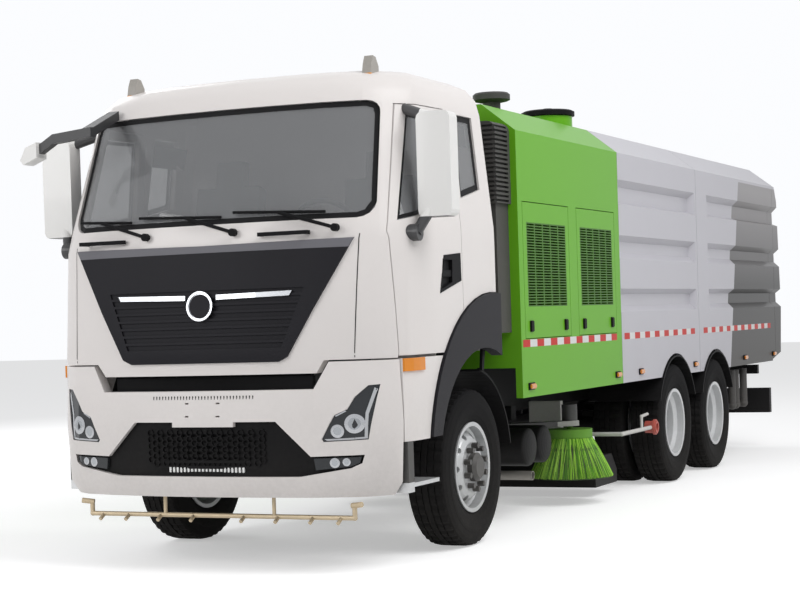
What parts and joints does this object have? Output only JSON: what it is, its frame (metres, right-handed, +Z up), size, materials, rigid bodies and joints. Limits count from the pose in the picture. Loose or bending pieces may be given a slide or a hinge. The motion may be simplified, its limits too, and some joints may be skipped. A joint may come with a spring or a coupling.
{
  "type": "street sweeper truck",
  "caption": "Three-axle cab-over road sweeper with engine housing, water tank, tipping hopper with tailgate, side brooms and suction nozzle.",
  "frame": {"origin": "middle of the bounding box on the ground under the tyres", "axes": "-Y ahead, +X the left side of the truck, +Z up"},
  "size_m": [2.974, 10.14, 3.172],
  "materials": {
    "paint_white": "gloss white paint",
    "paint_green": "gloss green paint",
    "paint_grey": "pale grey paint",
    "paint_dark": "dark grey paint",
    "black_plastic": "black plastic",
    "frame_steel": "black chassis paint",
    "engine_metal": "painted castings",
    "pipe_steel": "painted and plated pipe",
    "lamp_lens": "clear lens over dark reflector",
    "brass_pipe": "brass pipe",
    "tread_alloy": "ribbed aluminium",
    "glass": "tinted safety glass",
    "panel_plastic": "charcoal plastic",
    "chrome": "bright trim",
    "trim_plastic": "dark cab trim",
    "amber_lens": "amber lens",
    "wheel_metal": "silver painted wheel",
    "tyre": "black rubber",
    "bristle": "green plastic bristle"
  },
  "bodies": {
    "chassis": {"rails": "frame_steel", "cross_members": "frame_steel", "axles": "frame_steel", "leaf_springs": "frame_steel", "engines": "engine_metal", "tanks": "frame_steel", "exhaust": "pipe_steel", "mudguards": "black_plastic", "rear_guard": "frame_steel", "bumper": "paint_white", "bumper_grille": "black_plastic", "front_lamps": "lamp_lens", "spray_bar": "brass_pipe", "steps": "tread_alloy", "housing": "paint_green", "air_intakes": "black_plastic", "water_tank": "paint_grey", "nozzle": "frame_steel", "water_pipes": "pipe_steel", "fenders": "panel_plastic", "step_panels": "paint_white"},
    "cab": {"cab_shell": "paint_white", "cab_glass": "glass", "grille_panel": "panel_plastic", "grille_trim": "chrome", "wipers": "black_plastic", "boom_mirror": "black_plastic", "cab_interior": "trim_plastic", "roof_lamps": "amber_lens"},
    "door_left": {"door_left": "paint_white", "door_glass_left": "glass", "mirror_left": "paint_white"},
    "door_right": {"door_right": "paint_white", "door_glass_right": "glass", "mirror_right": "paint_white"},
    "knuckle_left": {"knuckle_left": "frame_steel"},
    "knuckle_right": {"knuckle_right": "frame_steel"},
    "front_wheel_left": {"front_wheel_left": "wheel_metal", "front_tyre_left": "tyre"},
    "front_wheel_right": {"front_wheel_right": "wheel_metal", "front_tyre_right": "tyre"},
    "rear_wheels_1_left": {"rear_wheels_1_left": "wheel_metal", "rear_tyres_1_left": "tyre"},
    "rear_wheels_1_right": {"rear_wheels_1_right": "wheel_metal", "rear_tyres_1_right": "tyre"},
    "rear_wheels_2_left": {"rear_wheels_2_left": "wheel_metal", "rear_tyres_2_left": "tyre"},
    "rear_wheels_2_right": {"rear_wheels_2_right": "wheel_metal", "rear_tyres_2_right": "tyre"},
    "louvre_door_1_left": {"louvre_door_1_left": "paint_green"},
    "louvre_door_1_right": {"louvre_door_1_right": "paint_green"},
    "louvre_door_2_left": {"louvre_door_2_left": "paint_green"},
    "louvre_door_2_right": {"louvre_door_2_right": "paint_green"},
    "roof_hatch": {"roof_hatch": "black_plastic"},
    "hopper": {"hopper": "paint_grey"},
    "tailgate": {"tailgate": "paint_dark"},
    "broom_arm_left": {"broom_arm_left": "pipe_steel"},
    "broom_left": {"broom_left": "bristle"},
    "broom_arm_right": {"broom_arm_right": "pipe_steel"},
    "broom_right": {"broom_right": "bristle"}
  },
  "joints": [
    {"name": "cab_tilt", "type": "hinge", "parent": "chassis", "child": "cab", "pos_m": [0, -4.95, 0.95], "axis": [1, 0, 0], "range_deg": [0, 50]},
    {"name": "door_left_swing", "type": "hinge", "parent": "cab", "child": "door_left", "pos_m": [1.201, -4.752, 2], "axis": [0, 0, -1], "range_deg": [0, 70]},
    {"name": "door_right_swing", "type": "hinge", "parent": "cab", "child": "door_right", "pos_m": [-1.201, -4.752, 2], "axis": [0, 0, 1], "range_deg": [0, 70]},
    {"name": "steer_left", "type": "hinge", "parent": "chassis", "child": "knuckle_left", "pos_m": [0.88, -3.53, 0.522], "axis": [0, 0, 1], "range_deg": [-38, 38]},
    {"name": "steer_right", "type": "hinge", "parent": "chassis", "child": "knuckle_right", "pos_m": [-0.88, -3.53, 0.522], "axis": [0, 0, 1], "range_deg": [-38, 38]},
    {"name": "front_spin_left", "type": "hinge", "parent": "knuckle_left", "child": "front_wheel_left", "pos_m": [1.02, -3.53, 0.522], "axis": [1, 0, 0], "continuous": true},
    {"name": "front_spin_right", "type": "hinge", "parent": "knuckle_right", "child": "front_wheel_right", "pos_m": [-1.02, -3.53, 0.522], "axis": [1, 0, 0], "continuous": true},
    {"name": "rear_spin_1_left", "type": "hinge", "parent": "chassis", "child": "rear_wheels_1_left", "pos_m": [0.93, 0.97, 0.522], "axis": [1, 0, 0], "continuous": true},
    {"name": "rear_spin_1_right", "type": "hinge", "parent": "chassis", "child": "rear_wheels_1_right", "pos_m": [-0.93, 0.97, 0.522], "axis": [1, 0, 0], "continuous": true},
    {"name": "rear_spin_2_left", "type": "hinge", "parent": "chassis", "child": "rear_wheels_2_left", "pos_m": [0.93, 2.32, 0.522], "axis": [1, 0, 0], "continuous": true},
    {"name": "rear_spin_2_right", "type": "hinge", "parent": "chassis", "child": "rear_wheels_2_right", "pos_m": [-0.93, 2.32, 0.522], "axis": [1, 0, 0], "continuous": true},
    {"name": "louvre_door_1_left_lift", "type": "hinge", "parent": "chassis", "child": "louvre_door_1_left", "pos_m": [1.25, -2.2645, 2.312], "axis": [0, -1, 0], "range_deg": [0, 85]},
    {"name": "louvre_door_1_right_lift", "type": "hinge", "parent": "chassis", "child": "louvre_door_1_right", "pos_m": [-1.25, -2.2645, 2.312], "axis": [0, 1, 0], "range_deg": [0, 85]},
    {"name": "louvre_door_2_left_lift", "type": "hinge", "parent": "chassis", "child": "louvre_door_2_left", "pos_m": [1.25, -1.1495, 2.312], "axis": [0, -1, 0], "range_deg": [0, 85]},
    {"name": "louvre_door_2_right_lift", "type": "hinge", "parent": "chassis", "child": "louvre_door_2_right", "pos_m": [-1.25, -1.1495, 2.312], "axis": [0, 1, 0], "range_deg": [0, 85]},
    {"name": "roof_hatch_lift", "type": "hinge", "parent": "chassis", "child": "roof_hatch", "pos_m": [0.525, -0.81, 3.118], "axis": [0, -1, 0], "range_deg": [0, 100]},
    {"name": "hopper_tip", "type": "hinge", "parent": "chassis", "child": "hopper", "pos_m": [0, 4.72, 0.9], "axis": [-1, 0, 0], "range_deg": [0, 48]},
    {"name": "tailgate_lift", "type": "hinge", "parent": "hopper", "child": "tailgate", "pos_m": [0, 4.773, 3.026], "axis": [1, 0, 0], "range_deg": [0, 75]},
    {"name": "broom_arm_left_swing", "type": "hinge", "parent": "chassis", "child": "broom_arm_left", "pos_m": [0.5, -1.23, 0.64], "axis": [0, 0, -1], "range_deg": [0, 30]},
    {"name": "broom_spin_left", "type": "hinge", "parent": "broom_arm_left", "child": "broom_left", "pos_m": [0.9, -0.9, 0.4], "axis": [0, 0, 1], "continuous": true},
    {"name": "broom_arm_right_swing", "type": "hinge", "parent": "chassis", "child": "broom_arm_right", "pos_m": [-0.5, -1.23, 0.64], "axis": [0, 0, 1], "range_deg": [0, 30]},
    {"name": "broom_spin_right", "type": "hinge", "parent": "broom_arm_right", "child": "broom_right", "pos_m": [-0.9, -0.9, 0.4], "axis": [0, 0, 1], "continuous": true}
  ],
  "couplings": [
    {"joint": "steer_right", "follows": "steer_left", "ratio": 1}
  ]
}
